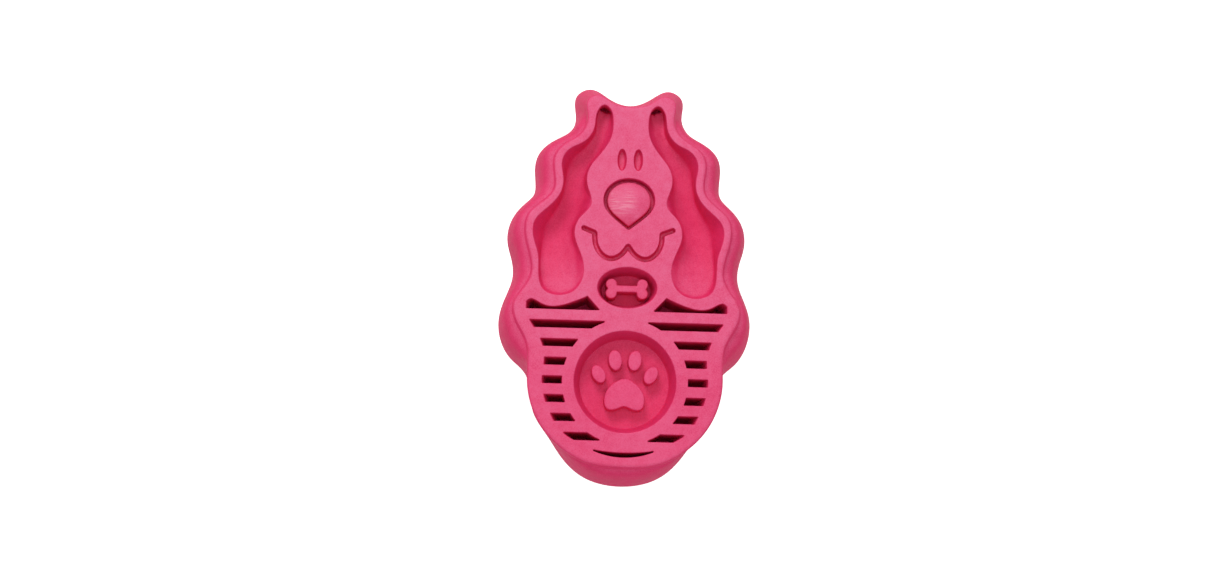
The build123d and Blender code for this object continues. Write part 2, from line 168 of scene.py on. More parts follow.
# ---------------- curves
def spline(points, closed, per_span):
    """Cubic spline through the points, sampled the same number of times in every span."""
    p = np.array(points, float)
    count = len(p)
    if closed:
        ahead = np.roll(p, -1, 0)
        h = np.linalg.norm(ahead - p, axis=1)
    else:
        ahead = p[1:]
        h = np.linalg.norm(p[1:] - p[:-1], axis=1)
    matrix = np.zeros((count, count))
    right = np.zeros(p.shape)
    for i in range(count):
        if not closed and i in (0, count - 1):
            matrix[i, i] = 1.0
            continue
        j, k = (i - 1) % count, (i + 1) % count
        matrix[i, j] += h[i - 1]
        matrix[i, i] += 2.0 * (h[i - 1] + h[i])
        matrix[i, k] += h[i]
        right[i] = 6.0 * ((p[k] - p[i]) / h[i] - (p[i] - p[j]) / h[i - 1])
    bend = np.linalg.solve(matrix, right)
    rows = []
    for i in range(len(h)):
        k = (i + 1) % count
        for step in range(per_span):
            u = step / per_span
            v = 1.0 - u
            curve = (v ** 3 - v) * bend[i] + (u ** 3 - u) * bend[k]
            rows.append(v * p[i] + u * p[k] + curve * h[i] ** 2 / 6.0)
    if not closed:
        rows.append(p[-1])
    return np.array(rows)


def mirrored(half):
    return half + [(-x, y) for x, y in reversed(half) if x > 0.0]


def turned_left(loop):
    """The closed loop, running anticlockwise."""
    x, y = loop[:, 0], loop[:, 1]
    area = np.sum(x * np.roll(y, -1) - np.roll(x, -1) * y)
    return loop if area > 0.0 else loop[::-1].copy()


def unit(rows):
    """The same vectors, each with a length of one."""
    return rows / np.linalg.norm(rows, axis=1)[:, None]


def right_of(run):
    """Unit vectors that point to the right of a line that runs along the vectors given."""
    run = unit(run)
    return np.stack([run[:, 1], -run[:, 0]], axis=1)


def outward(loop):
    """Unit normals that point out of an anticlockwise loop."""
    return right_of(np.roll(loop, -1, 0) - np.roll(loop, 1, 0))


def evenly(loop, spacing):
    """Closed loop sampled again at about the spacing asked for."""
    closed = np.vstack([loop, loop[:1]])
    step = np.linalg.norm(np.diff(closed, axis=0), axis=1)
    at = np.concatenate([[0.0], np.cumsum(step)])
    count = max(12, int(round(at[-1] / spacing)))
    wanted = np.arange(count) * at[-1] / count
    return np.stack([np.interp(wanted, at, closed[:, k]) for k in (0, 1)], axis=1)


def averaged(line, width):
    """Line under a bell-shaped average, which takes width points off each end."""
    weight = np.hanning(2 * width + 3)[1:-1]
    weight /= weight.sum()
    return np.stack([np.convolve(line[:, k], weight, "valid") for k in (0, 1)], axis=1)


def softened(loop, reach, spacing):
    """Closed loop whose corners are rounded over the reach given."""
    gap = 0.05
    fine = evenly(loop, gap)
    width = max(1, int(round(reach / gap)))
    padded = np.vstack([fine[-width:], fine, fine[:width]])
    return evenly(averaged(padded, width), spacing)


def ellipse(x, y, rx, ry, count, lean=0.0):
    a = np.arange(count) * 2.0 * math.pi / count
    flat = np.stack([rx * np.cos(a), ry * np.sin(a)], axis=1)
    c, s = math.cos(math.radians(lean)), math.sin(math.radians(lean))
    return flat @ np.array([[c, s], [-s, c]]) + np.array([x, y])


def corner_turns(core):
    """How far each corner of an anticlockwise polygon turns, and which way it sets out."""
    ahead = unit(np.roll(core, -1, 0) - core)
    behind = np.roll(ahead, 1, 0)
    start = np.arctan2(-behind[:, 0], behind[:, 1])
    cross = behind[:, 0] * ahead[:, 1] - behind[:, 1] * ahead[:, 0]
    return np.arctan2(cross, np.sum(behind * ahead, axis=1)), start


def around(core, distance, sharp):
    """Line drawn round an anticlockwise polygon at a distance, with round corners.

    The sharp corners get a fan of points each, and the other corners one point."""
    turns, start = corner_turns(core)
    result = []
    for p, turn, first, is_sharp in zip(core, turns, start, sharp):
        shares = np.linspace(0.0, 1.0, 5) if is_sharp else [0.5]
        for share in shares:
            angle = first + turn * share
            result.append((p[0] + distance * math.cos(angle), p[1] + distance * math.sin(angle)))
    return np.array(result)


def inside(loop, points):
    """Which of the points lie inside the closed loop."""
    x, y = points[:, 0][:, None], points[:, 1][:, None]
    x0, y0 = loop[:, 0][None, :], loop[:, 1][None, :]
    x1, y1 = np.roll(loop[:, 0], -1)[None, :], np.roll(loop[:, 1], -1)[None, :]
    spans = (y0 > y) != (y1 > y)
    with np.errstate(divide="ignore", invalid="ignore"):
        cross = (x1 - x0) * (y - y0) / (y1 - y0) + x0
    return (np.sum(spans & (x < cross), axis=1) % 2) == 1


def edge_distance(loop, points):
    """Distance from each point to the closed loop."""
    a = loop
    ab = np.roll(loop, -1, 0) - a
    length = np.maximum(np.sum(ab * ab, axis=1), 1e-12)
    best = np.full(len(points), 1e9)
    for start, run, size in zip(a, ab, length):
        t = np.clip(((points - start) @ run) / size, 0.0, 1.0)
        gap = np.linalg.norm(points - (start + t[:, None] * run), axis=1)
        best = np.minimum(best, gap)
    return best


def grid_inside(loop, spacing, margin):
    """Points of a triangular grid inside the loop, clear of its edge."""
    low, high = loop.min(0), loop.max(0)
    rows = []
    y, odd = low[1], False
    while y < high[1]:
        xs = np.arange(low[0] + (spacing / 2 if odd else 0.0), high[0], spacing)
        rows.append(np.stack([xs, np.full(len(xs), y)], axis=1))
        y += spacing * 0.866
        odd = not odd
    points = np.vstack(rows)
    points = points[inside(loop, points)]
    return points[edge_distance(loop, points) > margin]


# ---------------- skin of rings and fills
class Skin:
    """Closed surface put together from rings of points, bands between them, and fills."""

    def __init__(self):
        self.points = []
        self.faces = []

    def ring(self, loop, z):
        """Adds a closed ring; z is one height, or one for each point."""
        first = len(self.points)
        heights = np.broadcast_to(z, (len(loop),))
        for (x, y), h in zip(loop, heights):
            self.points.append((float(x), float(y), float(h)))
        return list(range(first, first + len(loop)))

    def band(self, a, b):
        """Quads from ring a to ring b, which have the same number of points."""
        count = len(a)
        for i in range(count):
            j = (i + 1) % count
            self.faces.append((a[i], a[j], b[j], b[i]))

    def chain(self, rings):
        for a, b in zip(rings, rings[1:]):
            self.band(a, b)

    def fill(self, outer, holes=(), extra=None, height=None, down=False):
        """Triangles between the outer ring and the holes, with extra points inside."""
        ids = []
        edges = []
        for ring in [outer] + list(holes):
            start = len(ids)
            ids += ring
            edges += [(start + i, start + (i + 1) % len(ring)) for i in range(len(ring))]
        flat = [self.points[i][:2] for i in ids]
        if extra is not None and len(extra):
            heights = height(extra)
            for (x, y), h in zip(extra, np.broadcast_to(heights, (len(extra),))):
                ids.append(len(self.points))
                self.points.append((float(x), float(y), float(h)))
                flat.append((float(x), float(y)))
        coords = [Vector(p) for p in flat]
        out = delaunay_2d_cdt(coords, edges, [], 0, 1e-7, True)
        triangles = np.array([f for f in out[2] if len(f) == 3])
        places = np.array([tuple(v) for v in out[0]])
        origin = [o[0] if o else -1 for o in out[3]]
        centre = places[triangles].mean(axis=1)
        keep = inside(np.array([self.points[i][:2] for i in outer]), centre)
        for hole in holes:
            keep &= ~inside(np.array([self.points[i][:2] for i in hole]), centre)
        for tri in triangles[keep]:
            a, b, c = [ids[origin[k]] for k in tri]
            pa, pb, pc = [np.array(self.points[k][:2]) for k in (a, b, c)]
            turn = (pb[0] - pa[0]) * (pc[1] - pa[1]) - (pb[1] - pa[1]) * (pc[0] - pa[0])
            if (turn < 0.0) != down:
                a, b, c = a, c, b
            self.faces.append((a, b, c))

    def mesh(self, name):
        mesh = bpy.data.meshes.new(name)
        mesh.from_pydata(self.points, [], self.faces)
        bm = bmesh.new()
        bm.from_mesh(mesh)
        bmesh.ops.remove_doubles(bm, verts=bm.verts, dist=1e-5)
        loose = [v for v in bm.verts if not v.link_faces]
        bmesh.ops.delete(bm, geom=loose, context="VERTS")
        bm.to_mesh(mesh)
        bm.free()
        return mesh


def quarter(radius, steps):
    """(inset, drop) pairs round a quarter circle, from the flat to the wall."""
    angles = [k / steps * math.pi / 2 for k in range(steps + 1)]
    return [(radius * (1 - math.sin(a)), radius * (1 - math.cos(a))) for a in angles]


# ---------------- outer wall
WALL_FLARE = 5.3          # usual way out from the lip to the foot
# Height of the wall against the share of the way out from the lip to the foot: a crease
# beside the lip, a rounded shoulder, then a wall that steepens down to the foot.
WALL_PROFILE = [
    (0.012, 36.50), (0.045, 36.10), (0.100, 35.82), (0.170, 35.58), (0.250, 35.28),
    (0.345, 34.82), (0.455, 34.10), (0.570, 33.00), (0.680, 31.40), (0.790, 29.20),
    (0.885, 26.50), (0.950, 23.50), (0.988, 20.50), (1.000, 18.00), (1.000, 16.60),
]


def outer_wall(skin):
    """Foot, wall and lip; returns the bottom ring and the ring at the edge of the face."""
    lip = turned_left(spline(mirrored(LIP), True, 12))
    foot = turned_left(spline(mirrored(FOOT), True, 12))
    lip_out, foot_out = outward(lip), outward(foot)
    rings = []
    for inset, drop in quarter(FOOT_ROUND, 5):
        rings.append(skin.ring(foot - foot_out * inset, FINGER_LENGTH + drop))
    profile = spline([(share * WALL_FLARE, z) for share, z in WALL_PROFILE], False, 3)[::-1]
    straighter_from_y, straightest_y = 43.0, 52.0
    at_top = (lip[:, 1] - straighter_from_y) / (straightest_y - straighter_from_y)
    at_top = np.clip(at_top, 0.0, 1.0)
    at_top = at_top * at_top * (3.0 - 2.0 * at_top)
    wall_top_z, wall_foot_z, last_bulge_z = 36.50, 17.2, 17.9
    for run, z in profile[1:]:
        share = run / WALL_FLARE
        straight = wall_top_z + (wall_foot_z - wall_top_z) * share
        height = z + (straight - z) * at_top * TOP_WALL_STRAIGHTEN * (z > last_bulge_z)
        rings.append(skin.ring(lip + (foot - lip) * share, height))
    ear_tip_x, ear_tip_y, about = 6.6, 52.0, 3.0
    off = (np.abs(lip[:, 0]) - ear_tip_x) ** 2 + (lip[:, 1] - ear_tip_y) ** 2
    reach = LIP_REACH - (LIP_REACH - LIP_REACH_EAR_TIP) * np.exp(-off / about ** 2)
    reach = reach[:, None]
    for inset, drop in reversed(quarter(1.0, 8)):
        rings.append(skin.ring(lip - lip_out * reach * inset, FACE_Z - drop * LIP_ROUND))
    skin.chain(rings)
    return rings[0], rings[-1]


# ---------------- openings in the face
def rim_rings(skin, loop, radius, steps):
    """Rings of a rounded edge, from the face down into an opening."""
    out = outward(loop)
    return [skin.ring(loop + out * inset, FACE_Z - drop) for inset, drop in quarter(radius, steps)]


def closed_hollow(skin, rings):
    """Joins an opening's rings, closes its floor, and returns its ring at the face."""
    skin.chain(rings)
    skin.fill(rings[-1])
    return rings[0]


def sunk(skin, loop, floor_loop, rim, floor_z, corner, wall_steps):
    """Opening with a rounded rim, leaning walls and a rounded corner at its floor."""
    rings = rim_rings(skin, loop, rim, 4)
    top = FACE_Z - rim
    foot_z = floor_z + corner
    for k in range(1, wall_steps + 1):
        share = k / wall_steps
        rings.append(skin.ring(loop + (floor_loop - loop) * share, top + (foot_z - top) * share))
    inner = outward(floor_loop)
    for inset, drop in quarter(corner, 4)[-2::-1]:
        rings.append(skin.ring(floor_loop - inner * inset, floor_z + drop))
    return closed_hollow(skin, rings)


def ear_floor_height(points):
    """Hollow floor: a trough of elliptical section along the ear, with a pocket at its tip."""
    side = np.sign(points[:, 0].mean())
    start = np.array([EAR_LINE_TOP[0] * side, EAR_LINE_TOP[1]])
    foot = np.array([EAR_LINE_FOOT[0] * side, EAR_LINE_FOOT[1]])
    run = (foot - start) / np.linalg.norm(foot - start)
    along = (points - start) @ run
    off = np.abs((points - start) @ np.array([-run[1], run[0]]))
    section = spline(EAR_TROUGH, False, 12)
    half = np.interp(along, section[:, 0], section[:, 1])
    depth = np.interp(along, section[:, 0], section[:, 2])
    pit, pit_end, blend = EAR_TIP_PIT
    depth = depth + pit / (1.0 + np.exp((along - pit_end) / blend))
    z = EAR_TROUGH_Z - depth * np.sqrt(1.0 - np.minimum(off / half, 0.985) ** 2)
    return np.minimum(z, EAR_FLOOR_TOP_Z)


def ear(skin, side):
    """Hollow ear: steep walls that turn through a rounded crease into the hollow floor."""
    rim = spline([(side * x, y) for x, y in EAR], True, 10)
    floor = spline([(side * x, y) for x, y in EAR_FLOOR], True, 10)
    if turned_left(rim) is not rim:
        rim, floor = rim[::-1].copy(), floor[::-1].copy()
    rings = rim_rings(skin, rim, EAR_ROUND, 5)
    top = np.column_stack([rim, np.full(len(rim), FACE_Z - EAR_ROUND)])
    foot = np.column_stack([floor, ear_floor_height(floor)])
    # The crease is smaller where the ear narrows to its tip.
    reach = EAR_CREASE * np.clip((51.5 - floor[:, 1]) / 6.0, 0.3, 1.0)
    inner = floor - outward(floor) * reach[:, None]
    landing = np.column_stack([inner, ear_floor_height(inner)])
    depth = top[:, 2] - foot[:, 2]
    stop = 1.0 - np.minimum(1.2 / depth, 0.5)
    turn = top + (foot - top) * stop[:, None]
    for k in range(1, 9):
        level = top + (turn - top) * (k / 8)
        rings.append(skin.ring(level[:, :2], level[:, 2]))
    for k in range(1, 7):
        t = k / 6
        level = (1 - t) ** 2 * turn + 2 * t * (1 - t) * foot + t ** 2 * landing
        rings.append(skin.ring(level[:, :2], level[:, 2]))
    skin.chain(rings)
    skin.fill(rings[-1], extra=grid_inside(inner, 0.9, 0.6), height=ear_floor_height)
    return rings[0]


def slot(skin, core_at, corner, draft, lean=None):
    """Slot with a rounded rim, slightly leaning walls and a rounded floor.

    core_at(inset) is the slot's outline drawn in by an inset.  lean gives two x values and
    a distance: points past the first move in by up to that distance as the slot deepens,
    the whole of it at the second."""
    sharp = corner_turns(core_at(corner))[0] > 0.2
    rings = []
    depth = FACE_Z - SLOT_FLOOR_Z

    def add(inset, grow, z):
        loop = around(core_at(corner + inset), corner + grow, sharp)
        if lean is not None:
            near, far, reach = lean
            share = np.clip((loop[:, 0] - near) / (far - near), 0.0, 1.0)
            loop[:, 0] -= np.sign(far) * reach * share * ((FACE_Z - z) / depth) ** 0.7
        rings.append(skin.ring(loop, z))

    for inset, drop in quarter(SLOT_ROUND, 4):
        add(0.0, inset, FACE_Z - drop)
    top = FACE_Z - SLOT_ROUND
    foot = SLOT_FLOOR_Z + 0.3
    for k in range(1, 7):
        add(draft * k / 6, 0.0, top + (foot - top) * k / 6)
    add(draft + 0.06, 0.0, SLOT_FLOOR_Z)
    return closed_hollow(skin, rings)


def slot_core(row, side, inset):
    """Outline of one slot beside the ring, drawn in by the inset."""
    high = SLOT_TOP_Y - SLOT_PITCH * (row - 1) - inset
    low = high - SLOT_HEIGHT + 2 * inset
    reach = RING_OUTER_R + inset
    outer = spline(SLOT_END, False, 16)
    outer = outer + right_of(np.gradient(outer, axis=0)) * inset
    levels = np.linspace(low, high, 5)
    order = np.argsort(outer[:, 1])
    ends = np.interp(levels, outer[order, 1], outer[order, 0])
    ring_x = np.sqrt(np.maximum(reach ** 2 - (levels - RING_Y) ** 2, 0.0))
    core = [(x, low) for x in np.linspace(ring_x[0], ends[0], 8)]
    core += [(x, y) for x, y in zip(ends[1:-1], levels[1:-1])]
    core += [(x, high) for x in np.linspace(ends[-1], ring_x[-1], 8)]
    core += [(x, y) for x, y in zip(ring_x[1:-1][::-1], levels[1:-1][::-1])]
    return turned_left(np.array(core) * np.array([side, 1.0]))


def row_slot(skin, row, side):
    """Slot beside the ring, whose outer end wall leans in below the face."""

    def core_at(inset):
        return slot_core(row, side, inset)

    middle = core_at(SLOT_CORNER)
    reach = np.abs(middle[:, 0])
    near = max(reach.min() + 1.2, reach.max() - 6.0)
    lean = (side * near, side * reach.max(), SLOT_END_LEAN[row - 1])
    return slot(skin, core_at, SLOT_CORNER, SLOT_DRAFT, lean)


def under_ear_slot(skin, side):
    """Slot between the ear's rounded end and the long crossbar."""
    wave = spline(EAR_WAVE, False, 9)
    above = right_of(np.gradient(wave, axis=0))
    inner = np.array(EAR_WAVE[-1])
    lean = np.array([UNDER_EAR_FOOT_X, BAR_TOP_Y]) - inner
    lean /= np.linalg.norm(lean)

    def core_at(inset):
        shifted = wave - above * inset
        low = BAR_TOP_Y + inset
        start = inner + np.array([-lean[1], lean[0]]) * inset
        foot = start + lean * (low - start[1]) / lean[1]
        x = np.linspace(UNDER_EAR_TIP_X - inset, start[0] + 0.2, 30)
        order = np.argsort(shifted[:, 0])
        y = np.interp(x, shifted[order, 0], shifted[order, 1])
        y = np.maximum(y, low + 0.04)
        core = list(zip(x, y)) + [tuple(start + lean * 0.1), tuple(foot)]
        core += [(v, low) for v in np.linspace(foot[0], x[0], 16)[1:]]
        return turned_left(np.array(core) * np.array([side, 1.0]))

    lean_end = (side * (UNDER_EAR_TIP_X - 4.1), side * (UNDER_EAR_TIP_X - 0.6), 1.6)
    return slot(skin, core_at, SLOT_CORNER, 0.12, lean_end)


def chin_slot(skin):
    """Thin slot under the ring, between two arcs that meet at its ends."""
    sag_up, sag_low = CHIN_SLOT_SAGS
    r_up = (CHIN_SLOT_HALF ** 2 + sag_up ** 2) / (2 * sag_up)
    r_low = (CHIN_SLOT_HALF ** 2 + sag_low ** 2) / (2 * sag_low)

    def core_at(inset):
        end = CHIN_SLOT_HALF - 1.0 - 2.0 * inset
        x = np.linspace(-end, end, 24)
        upper = CHIN_SLOT_Y - sag_up + r_up - np.sqrt((r_up + inset) ** 2 - x ** 2)
        lower = CHIN_SLOT_Y - sag_low + r_low - np.sqrt((r_low - inset) ** 2 - x ** 2)
        upper = np.maximum(upper, lower + 0.03)
        core = list(zip(x, lower)) + list(zip(x, upper))[::-1]
        return turned_left(np.array(core))

    return slot(skin, core_at, SLOT_CORNER, 0.1)


def round_window(skin):
    rim = ellipse(0, RING_Y, RING_INNER_R, RING_INNER_R, 168)
    floor = ellipse(0, RING_Y, MEDALLION_R, MEDALLION_R, 168)
    return sunk(skin, rim, floor, WINDOW_ROUND, MEDALLION_Z, 0.45, 6)


def oval_window(skin):
    rim = ellipse(0, OVAL_Y, OVAL_RX, OVAL_RY, 120)
    floor = ellipse(0, OVAL_Y, OVAL_RX - OVAL_DRAFT, OVAL_RY - OVAL_DRAFT, 120)
    return sunk(skin, rim, floor, WINDOW_ROUND, OVAL_FLOOR_Z, 0.4, 5)


def eye(skin, side):
    x, y, rx, ry = EYE
    rings = []
    for inset, drop in quarter(SMALL_ROUND, 4):
        rings.append(skin.ring(ellipse(side * x, y, rx + inset, ry + inset, 56), FACE_Z - drop))
    for inset, z in EYE_WALL:
        rings.append(skin.ring(ellipse(side * x, y, rx - inset, ry - inset, 56), z))
    return closed_hollow(skin, rings)


def nose_loop(shrink, spacing):
    """Rounded nose that comes to a point below."""
    centre, reach = np.array(NOSE_MIDDLE), np.array(NOSE_REACH)
    scale = (reach - shrink) / reach
    side = spline([(-x, y) for x, y in NOSE[::-1]][:-1] + NOSE + [NOSE_POINT], False, 12)
    half = [p for p in side if p[0] >= 0.0]
    whole = half + [(-x, y) for x, y in half[::-1] if x > 1e-9]
    loop = turned_left(np.array([tuple(p) for p in whole]))
    return (softened(loop, 0.5, spacing) - centre) * scale + centre


def nose_recess(skin):
    rim = nose_loop(0.0, 0.33)
    middle = np.array(NOSE_MIDDLE)
    floor = (rim - middle) * 0.975 + middle
    return sunk(skin, rim, floor, SMALL_ROUND, NOSE_FLOOR_Z, 0.3, 4)


def trimmed(line, path, distance):
    """Offset line without the stretches where it crosses itself inside a bend."""
    a = path[:-1]
    ab = path[1:] - a
    size = np.sum(ab * ab, axis=1)
    t = np.clip(np.einsum("ijk,jk->ij", line[:, None] - a[None], ab) / size, 0.0, 1.0)
    gap = np.linalg.norm(line[:, None] - (a[None] + t[..., None] * ab[None]), axis=2).min(1)
    bad = gap < distance * 0.985
    result = line.copy()
    i = 0
    while i < len(line):
        if not bad[i]:
            i += 1
            continue
        j = i
        while j + 1 < len(line) and bad[j + 1]:
            j += 1
        before = line[max(i - 1, 0)]
        after = line[min(j + 1, len(line) - 1)]
        result[i:j + 1] = (before + after) / 2
        i = j + 1
    return result


def round_end(centre, start, distance):
    """Half circle that closes the end of a groove, without its two end points."""
    steps = 8
    base = math.atan2(start[1] - centre[1], start[0] - centre[0])
    angles = [base + math.pi * k / steps for k in range(1, steps)]
    return centre + distance * np.array([(math.cos(a), math.sin(a)) for a in angles])


def mouth_path():
    """Middle line of the mouth, with its corners eased, from one cheek to the other."""
    run = spline(MOUTH[:-1], False, 12)
    half = np.vstack([run, [MOUTH[-1]]])
    path = np.vstack([(half * np.array([-1.0, 1.0]))[::-1][:-1], half])
    step = np.concatenate([[0.0], np.cumsum(np.linalg.norm(np.diff(path, axis=0), axis=1))])
    count, ease = 1200, 0.4
    wanted = np.linspace(0.0, step[-1], count)
    fine = np.stack([np.interp(wanted, step, path[:, k]) for k in (0, 1)], axis=1)
    width = int(round(ease / (step[-1] / (count - 1))))
    ahead = 2 * fine[-1] - fine[-2:-width - 2:-1]
    behind = (2 * fine[0] - fine[1:width + 1])[::-1]
    return averaged(np.vstack([behind, fine, ahead]), width)[::5]


def mouth(skin):
    """Rounded groove along two jowls, with a tick at each cheek."""
    path = mouth_path()
    normal = right_of(np.gradient(path, axis=0))

    def loop(distance):
        right = trimmed(path + normal * distance, path, distance)
        left = trimmed(path - normal * distance, path, distance)
        far = round_end(path[-1], right[-1], distance)
        near = round_end(path[0], left[0], distance)
        return turned_left(np.vstack([right, far, left[::-1], near]))

    reach = MOUTH_WIDTH / 2
    rings = []
    for inset, drop in quarter(SMALL_ROUND, 4):
        rings.append(skin.ring(loop(reach + inset), FACE_Z - drop))
    for inset, z in MOUTH_WALL:
        rings.append(skin.ring(loop(reach - inset), z))
    return closed_hollow(skin, rings)


def whole_skin():
    """The closed outer surface of the body, without fingers, nose and emblems."""
    skin = Skin()
    bottom, lip = outer_wall(skin)
    holes = [round_window(skin), oval_window(skin), nose_recess(skin), mouth(skin)]
    for side in (1, -1):
        holes.append(ear(skin, side))
        holes.append(eye(skin, side))
        holes.append(under_ear_slot(skin, side))
        for row in range(1, SLOT_ROWS + 1):
            holes.append(row_slot(skin, row, side))
    holes.append(chin_slot(skin))
    skin.fill(lip, holes)
    skin.fill(bottom, down=True)
    return skin


# ---------------- cutting the skin up
def scratch(mesh):
    piece = bpy.data.objects.new("scratch", mesh)
    bpy.context.scene.collection.objects.link(piece)
    return piece


def combine(a, b, operation):
    """Mesh of the solid a with the solid b taken away, kept or added."""
    first, second = scratch(a), scratch(b)
    modifier = first.modifiers.new("cut", "BOOLEAN")
    modifier.solver = "MANIFOLD"
    modifier.operation = operation
    modifier.object = second
    graph = bpy.context.evaluated_depsgraph_get()
    result = bpy.data.meshes.new_from_object(first.evaluated_get(graph))
    bpy.data.objects.remove(first)
    bpy.data.objects.remove(second)
    return result


def split(mesh, tool):
    """The part of a solid inside the tool, and the part outside it."""
    return combine(mesh, tool, "INTERSECT"), combine(mesh, tool, "DIFFERENCE")


def upright(loop, low, high):
    """Upright block over a closed loop."""
    loop = turned_left(np.array(loop, float))
    skin = Skin()
    bottom, top = skin.ring(loop, low), skin.ring(loop, high)
    skin.band(bottom, top)
    skin.fill(top)
    skin.fill(bottom, down=True)
    return skin.mesh("tool")


def slab(x0, x1, y0, y1, low, high):
    return upright([(x0, y0), (x1, y0), (x1, y1), (x0, y1)], low, high)


def across(y0, y1, low=10, high=50):
    """Block wider than the brush, between two y values."""
    return slab(-60, 60, y0, y1, low, high)


def core_tool():
    """Everything that is not skirt: a plug up to the shoulder, and all above it."""
    lip = turned_left(spline(mirrored(LIP), True, 6))
    plug = upright(lip - outward(lip) * 1.4, WEB_TOP - 2.0, 45.0)
    above = across(-80, 80, SHOULDER_Z - 0.03, 46.0)
    return combine(plug, above, "UNION")


def ear_tool(side):
    """Plan area of one ear: the hollow, the wall round it, and all outside it."""
    zone = upright([(side * x, y) for x, y in EAR_ZONE], 10.0, 50.0)
    rim = turned_left(spline([(side * x, y) for x, y in EAR], True, 6))
    band = upright(rim + outward(rim) * 2.2, 9.0, 51.0)
    return combine(zone, band, "UNION")


def grille_tool():
    """Plan area of the slots and ribs, just inside the rim that the slots end on."""
    low = -47.8
    end = spline(SLOT_END, False, 8) - np.array([1.5, 0.0])
    end = np.array([p for p in end if p[1] > low] + [(14.0, low)])
    loop = np.vstack([end * np.array([-1.0, 1.0]), end[::-1]])
    return upright(loop, 10.0, 50.0)


def disc_tool(y, rx, ry):
    return upright(ellipse(0.0, y, rx, ry, 144), 10.0, 50.0)


def body_pieces():
    """One closed mesh for each CAD node of the body, cut from the one skin."""
    pieces = {}
    skin = whole_skin().mesh("skin")
    upper, pieces["base_web"] = split(skin, across(-80, 80, WEB_TOP, 60))
    core, pieces["side_skirt"] = split(upper, core_tool())
    ring, core = split(core, disc_tool(RING_Y, RING_OUTER_R + 0.45, RING_OUTER_R + 0.45))
    inner = MEDALLION_R - 0.55
    pieces["medallion_floor"], pieces["window_ring"] = split(ring, disc_tool(RING_Y, inner, inner))
    face, below = split(core, across(BAR_TOP_Y + 0.4, 80))
    pieces["right_ear_cup"], face = split(face, ear_tool(1))
    pieces["left_ear_cup"], face = split(face, ear_tool(-1))
    inset = OVAL_DRAFT + 0.5
    oval = disc_tool(OVAL_Y, OVAL_RX - inset, OVAL_RY - inset)
    pieces["oval_floor"], pieces["face_panel"] = split(face, oval)
    field, pieces["lower_rim"] = split(below, grille_tool())
    middle = SLOT_TOP_Y - SLOT_HEIGHT / 2
    pieces["long_crossbar"], field = split(field, across(middle, 0))
    for side, label in ((1, "right"), (-1, "left")):
        half = combine(field, slab(*sorted((0, side * 60)), -80, 0, 10, 50), "INTERSECT")
        for row in range(1, SLOT_ROWS):
            low = middle - SLOT_PITCH * row
            strip = across(low, low + SLOT_PITCH)
            pieces["%s_rib_%d" % (label, row)] = combine(half, strip, "INTERSECT")
    return pieces


# ---------------- raised pieces
RAISED_LEAN = 0.12        # how far their walls lean out at the foot
RAISED_SINK = 0.1         # how far they reach into the floor that they stand on


def crowned(outline, low, high, rim, crown, reach):
    """Raised shape with a rounded top edge and a slightly domed top."""
    loop = turned_left(outline)
    out = outward(loop)
    skin = Skin()
    rings = [skin.ring(loop + out * RAISED_LEAN, low)]
    for k in range(1, 5):
        z = low + (high - rim - low) * (k / 4)
        rings.append(skin.ring(loop + out * RAISED_LEAN * (1 - k / 4), z))
    for inset, drop in quarter(rim, 5)[-2::-1]:
        rings.append(skin.ring(loop - out * inset, high - drop))
    skin.chain(rings)
    edge = loop - out * rim

    def height(points):
        share = np.clip(edge_distance(edge, points) / reach, 0.0, 1.0)
        return high + crown * (1.0 - (1.0 - share) ** 2)

    skin.fill(rings[-1], extra=grid_inside(edge, 0.5, 0.3), height=height)
    skin.fill(rings[0], down=True)
    return skin


def bone():
    """Plain bone: a shaft with two knobs at each end."""
    knob, lift, end = 1.65, 1.35, 4.6
    start = math.atan2(1.0 - lift, -math.sqrt(knob ** 2 - (1.0 - lift) ** 2)) + 2 * math.pi
    stop = math.atan2(-lift, math.sqrt(knob ** 2 - lift ** 2))
    corner = []
    for k in range(25):
        a = start + (stop - start) * k / 24
        corner.append((end + knob * math.cos(a), lift + knob * math.sin(a)))
    right = corner + [(x, -y) for x, y in corner[::-1]]
    whole = right + [(-x, y) for x, y in right[::-1]]
    loop = np.array([(x, y + OVAL_Y) for x, y in whole])
    loop = softened(turned_left(loop), 0.35, 0.25)
    return crowned(loop, OVAL_FLOOR_Z - RAISED_SINK, EMBLEM_TOP_Z, 0.45, 0.12, 1.2)


def paw():
    """Plain paw print: one broad pad and four toes."""
    pad = spline(mirrored(PAW_PAD), True, 10)
    foot_z = MEDALLION_Z - RAISED_SINK
    skins = [crowned(pad, foot_z, EMBLEM_TOP_Z, 0.5, 0.2, 2.5)]
    for side in (1, -1):
        for x, y, rx, ry, lean in PAW_TOES:
            toe = ellipse(side * x, y, rx, ry, 64, side * lean)
            skins.append(crowned(toe, foot_z, EMBLEM_TOP_Z, 0.5, 0.15, 1.5))
    return joined(skins)


def joined(skins):
    """One skin that holds the points and faces of several."""
    whole = Skin()
    for skin in skins:
        shift = len(whole.points)
        whole.points += skin.points
        whole.faces += [tuple(i + shift for i in f) for f in skin.faces]
    return whole


